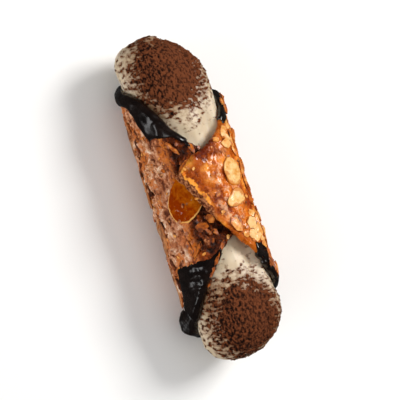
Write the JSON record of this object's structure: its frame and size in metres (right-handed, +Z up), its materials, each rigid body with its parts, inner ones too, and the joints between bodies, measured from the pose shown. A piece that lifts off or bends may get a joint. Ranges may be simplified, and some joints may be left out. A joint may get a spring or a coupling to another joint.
{
  "type": "cannolo",
  "caption": "Rolled almond wafer tube with V-cut ends dipped in dark chocolate, filled with pale cream domed at both ends and dusted with cocoa.",
  "frame": {"origin": "middle of the footprint, on the surface the cannolo rests on", "axes": "+X along the roll, +Z up with the V-shaped notches of both ends on top, +Y towards the side that the flap comes from"},
  "size_m": [0.121, 0.039, 0.0411],
  "materials": {
    "wafer": "baked caramel almond wafer, glazed where the caramel pooled, dusty elsewhere",
    "cream": "smooth soft ivory cream",
    "chocolate": "set dark chocolate, glossy",
    "almond": "sliced almond in clear caramel",
    "cocoa": "dry cocoa powder"
  },
  "bodies": {
    "root": {"shell": "wafer", "cream": "cream", "chocolate_dip_left": "chocolate", "chocolate_dip_right": "chocolate", "almond_slice_under_flap": "almond", "almond_slice_on_flap": "almond", "almond_slice_flap_middle": "almond", "almond_slice_front_left": "almond", "almond_slice_front_middle": "almond", "almond_slice_front_right": "almond", "almond_slice_front_low": "almond", "almond_slice_back_left": "almond", "almond_slice_back_middle": "almond", "almond_slice_back_right": "almond", "almond_slice_back_low": "almond", "almond_slice_low_left": "almond"}
  },
  "joints": []
}
